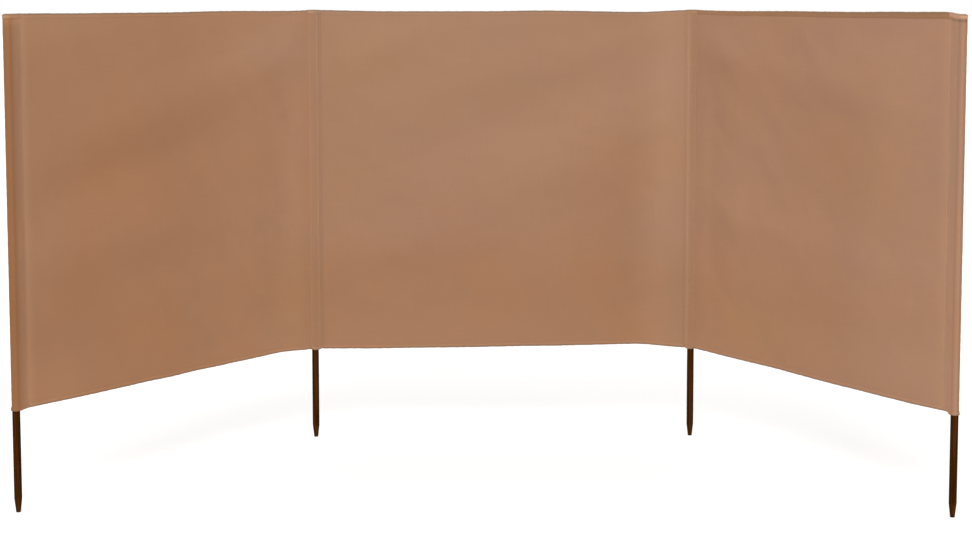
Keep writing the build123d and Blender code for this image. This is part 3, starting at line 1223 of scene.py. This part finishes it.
# Each stitch is a diamond of eight faces: two ends, and a ring of four corners round its middle.
def stitchPiece(name, rows):
    centre, along, outward = (np.concatenate(parts) for parts in zip(*rows))
    look = stitchLook
    aside = np.cross(along, outward)
    ends = along * look["length"] / 2
    low = outward * look["sunk"]
    corners = [
        centre - ends - low,
        centre + ends - low,
        centre + outward * look["half"],
        centre - outward * look["half"],
        centre + aside * look["half"],
        centre - aside * look["half"],
    ]
    points = np.stack(corners, axis=1).reshape(-1, 3)
    ring = [2, 4, 3, 5]
    faces = [[0, b, a] for a, b in zip(ring, ring[1:] + ring[:1])]
    faces += [[1, a, b] for a, b in zip(ring, ring[1:] + ring[:1])]
    every = np.array(faces)[None] + 6 * np.arange(len(centre))[:, None, None]
    piece = meshPiece(name, points, every.reshape(-1, 3))
    uv = np.stack([points[:, 0] + points[:, 1], points[:, 2]], axis=-1)
    finished(piece, uv, np.ones(points.shape), threadMaterial)


hemOut = hemLook["half"] + hemLook["thickness"] / 2 - 0.0001
cuffOut = cuffLook["half"] + cuffLook["thickness"] / 2 - 0.0001
capOut = capLook["out"] + capLook["thickness"] / 2 - 0.0002
capRise = capLook["skirt"] - capLook["stitch"] - capLook["above"]


def hemRows(side):
    columns = hemColumns(side)
    first, last = columns[0] + stitchLook["hemEnds"], columns[-1] - stitchLook["hemEnds"]
    rows = []
    for upper in (True, False):
        grows = side == "right" and upper
        for facing in (1, -1):
            rows.append(rowAlong(strips[side], first, last, hemLook["stitch"], upper, hemOut, facing, grows))
    return rows


def cuffRow(strip, first, last):
    first, last = strip["marks"][first] + stitchLook["ends"], strip["marks"][last] - stitchLook["ends"]
    return rowAlong(strip, first, last, cuffLook["stitch"], False, cuffOut)


def capRow(strip, first, last):
    first, last = strip["marks"][first] - stitchLook["ends"], strip["marks"][last] + stitchLook["ends"]
    return rowAlong(strip, first, last, capRise, True, capOut)


stitchPiece("centre_stitches", hemRows("centre"))
for side, back in backs.items():
    strip = strips[side]
    stitchPiece(side + "_stitches", hemRows(side) + [
        rowUp(strip, "frontSeam"),
        rowUp(strip, "backSeam"),
        cuffRow(strip, "backSeam", "frontSeam"),
        capRow(strip, "backSeam", "frontSeam"),
    ])
    stitchPiece(side + "_fold_stitches", [
        rowUp(strip, "wingSeam"),
        rowUp(strip, "centreSeam"),
        rowUp(back, "wingSeam"),
        rowUp(back, "centreSeam"),
        cuffRow(strip, "wingSeam", "centreSeam"),
        cuffRow(back, "centreSeam", "wingSeam"),
        capRow(strip, "wingSeam", "centreSeam"),
        capRow(back, "centreSeam", "wingSeam"),
    ])
print("stitches made")

# What each piece rides on, and what it stands for. A wing's body carries its own pieces; those at
# its middle pole ride on no body, and have their places baked into their meshes.
wingPieces = ["_top_hem_fold", "_bottom_hem_fold", "_end_cuff_fold", "_end_pocket_cap", "_stitches"]
foldPieces = ["_middle_cuff_fold", "_middle_pocket_cap", "_fold_stitches"]
centrePieces = ["_top_hem_fold", "_bottom_hem_fold", "_stitches"]
standsFor = {
    "_cloth": ["_panel", "_end_flap", "_end_pocket", "_middle_wing_flap"],
    "_middle_pocket_back": ["_middle_pocket", "_middle_centre_flap"],
    "_middle_cuff_fold": ["_middle_pocket_cuff"],
    "_middle_pocket_cap": ["_middle_pocket_top"],
    "_end_cuff_fold": ["_end_pocket_cuff"],
    "_end_pocket_cap": ["_end_pocket_top"],
}
for name in ["_cloth", *centrePieces]:
    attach(pieces["centre" + name], "centre")
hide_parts("centre_panel")
for side in backs:
    wing, spot = side + "_wing", poleSpot[side + "_middle"]
    for name in wingPieces:
        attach(pieces[side + name], wing)
    outwards = unit(poleSpot[side + "_end"] - spot)
    start = (*(spot - outwards * middleSeam * math.cos(wingTurn[side])), 0.0)
    end = (*(spot + outwards * middleSeam), 0.0)
    for name in ["_cloth", "_middle_pocket_back", *foldPieces]:
        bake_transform(pieces[side + name])
    for name, nodes in standsFor.items():
        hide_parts(*(side + node for node in nodes))
for side in bays:
    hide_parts(side + "_top_hem")
    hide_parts(side + "_bottom_hem")


for n, place in enumerate(places):
    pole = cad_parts[place + "_pole"]
    pole.data.materials.clear()
    pole.data.materials.append(woodMaterial(place + "_wood", poleSpot[place], 1.7 * n))
print("pieces placed on their bodies")

studio = {
    "floor": 60.0,
    "paint": 0.70,
    "glow": 0.35,            # the floor's own light, which keeps it near white
    "world": 1.0,
    "key": 1.3,
    "keyAngle": 24,
    "keyFrom": (-0.12, -1.0, 0.75),
}
corners = np.array([(-1, -1), (1, -1), (1, 1), (-1, 1)]) * studio["floor"]
floor = meshPiece("studio_floor", np.c_[corners, np.full(4, floorHeight)], np.array([[0, 1, 2, 3]]))
floorMaterial, tree, shader = startMaterial("studio_floor_paint")
setSockets(tree, shader, {
    "Base Color": (studio["paint"],) * 3 + (1,),
    "Roughness": 0.9,
    "Specular IOR Level": 0.1,
    "Emission Color": (1, 1, 1, 1),
    "Emission Strength": studio["glow"],
})
floor.data.materials.append(floorMaterial)

world = bpy.data.worlds.new("studio")
bpy.context.scene.world = world
world.use_nodes = True
sky = world.node_tree.nodes["Background"]
setSockets(world.node_tree, sky, {"Color": (1, 1, 1, 1), "Strength": studio["world"]})
keyData = bpy.data.lights.new("key_light", "SUN")
keyData.energy = studio["key"]
keyData.angle = math.radians(studio["keyAngle"])
key = bpy.data.objects.new("key_light", keyData)
key.rotation_euler = Vector(studio["keyFrom"]).to_track_quat("Z", "Y").to_euler()
bpy.context.scene.collection.objects.link(key)

view = {
    "place": (0.575, -7.214, 1.598),
    "down": 5.65,
    "right": 0.83,
    "lens": 76.11,
    "shift": (-0.0214, -0.08),
}
cameraData = bpy.data.cameras.new("camera")
cameraData.lens = view["lens"]
cameraData.sensor_width = 36
cameraData.shift_x, cameraData.shift_y = view["shift"]
camera = bpy.data.objects.new("camera", cameraData)
camera.location = view["place"]
camera.rotation_euler = (math.radians(90 - view["down"]), 0, math.radians(-view["right"]))
bpy.context.scene.collection.objects.link(camera)
bpy.context.scene.camera = camera
bpy.context.scene.view_settings.view_transform = "Standard"
print("floor, light and camera set")
